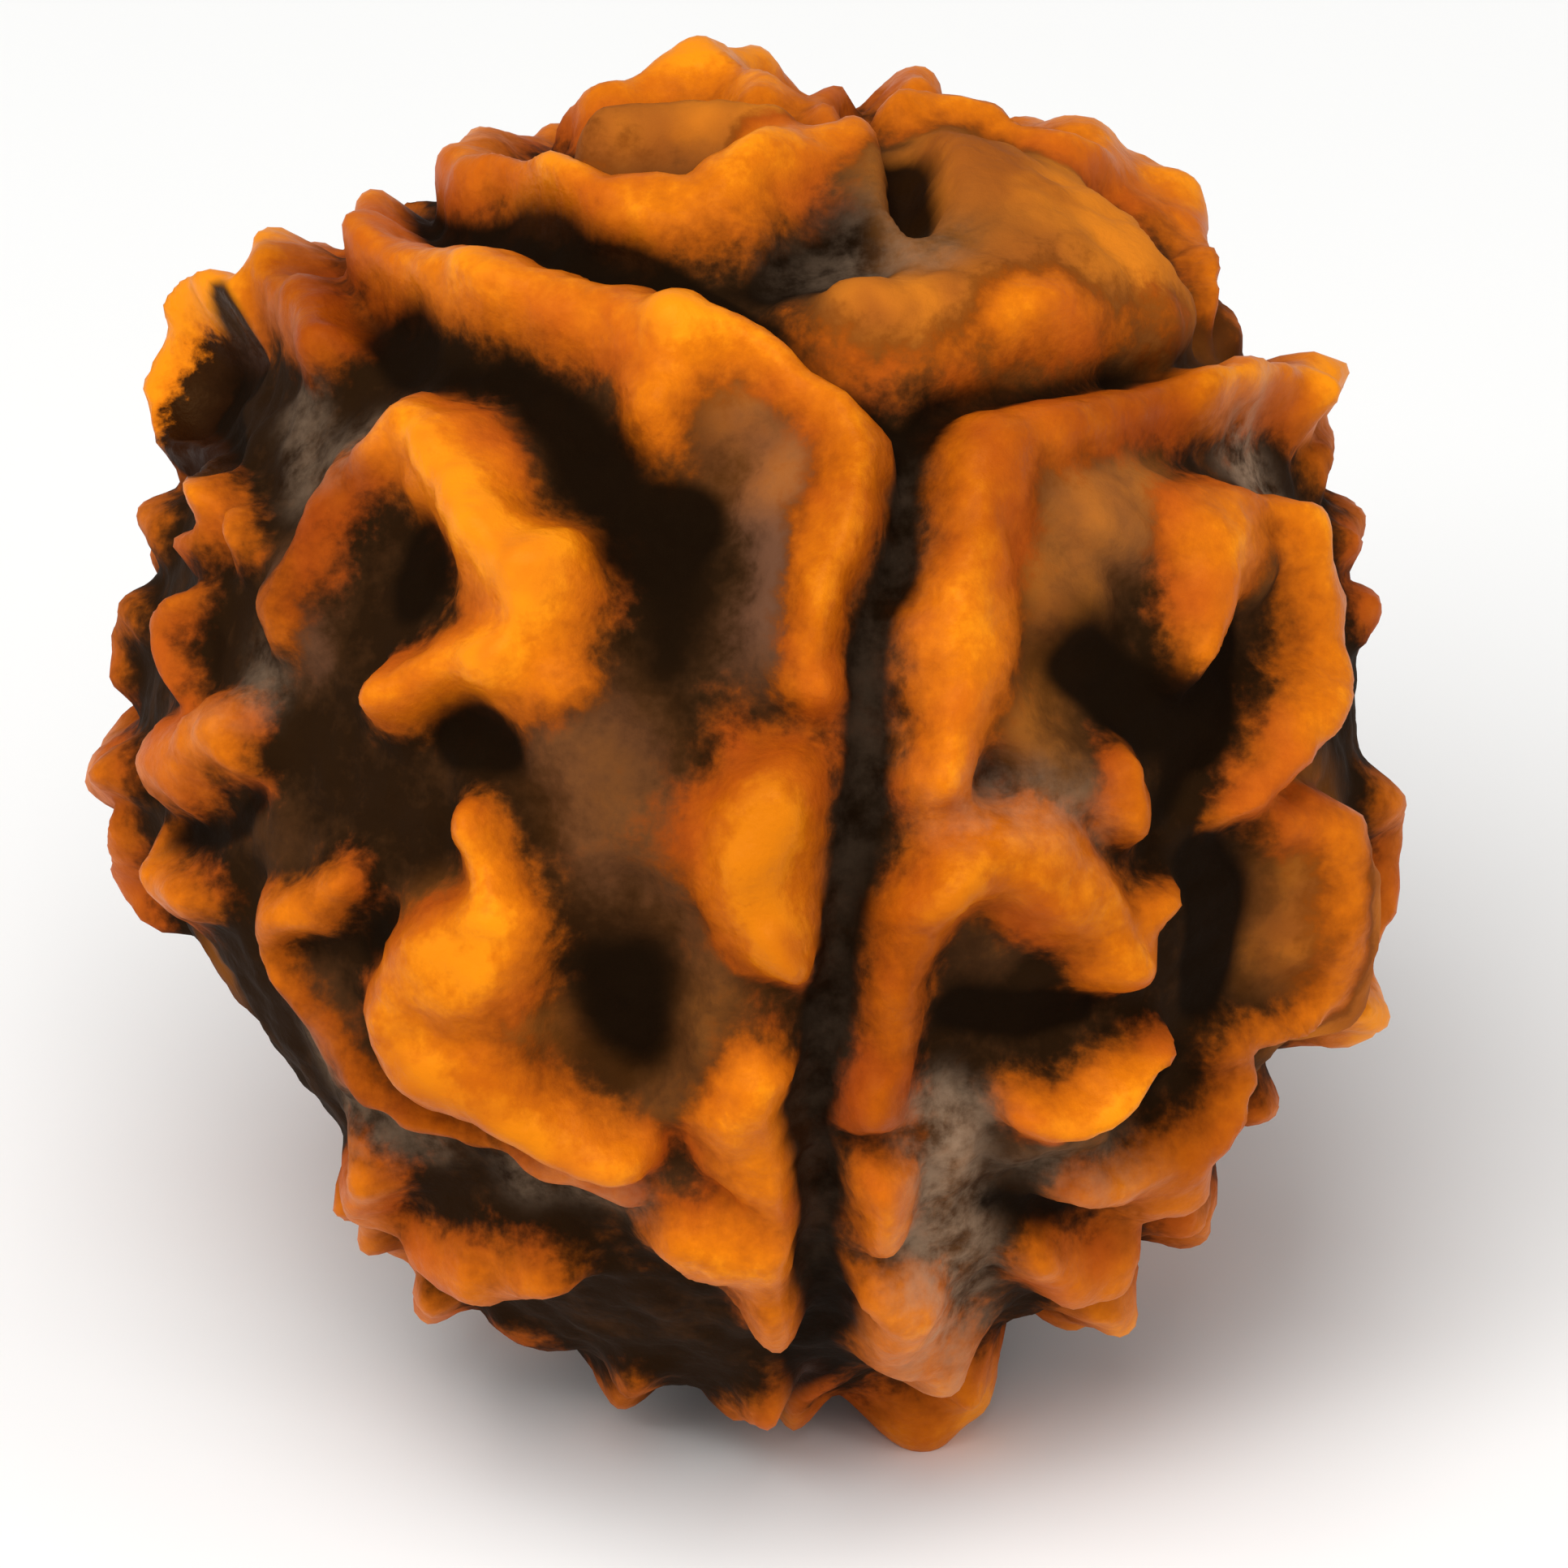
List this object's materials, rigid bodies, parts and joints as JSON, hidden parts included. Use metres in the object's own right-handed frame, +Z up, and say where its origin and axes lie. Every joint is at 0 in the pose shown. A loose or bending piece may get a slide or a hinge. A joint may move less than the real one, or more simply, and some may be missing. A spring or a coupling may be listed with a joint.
{
  "type": "rudraksha bead",
  "caption": "Near-round wrinkled seed stone with deep seams from pole to pole and knobbly ridges round dark hollows, lying on three small flat feet.",
  "frame": {"origin": "middle of the bounding box on the ground under the bead", "axes": "+X across the pictured side, +Y away from the viewer, +Z up; the line between the poles of the seams leans back and to the right"},
  "size_m": [0.0204, 0.0216, 0.0209],
  "materials": {
    "stone": "oiled, semi-gloss, orange ridges over dark brown hollows"
  },
  "bodies": {
    "root": {"bead": "stone"}
  },
  "joints": []
}
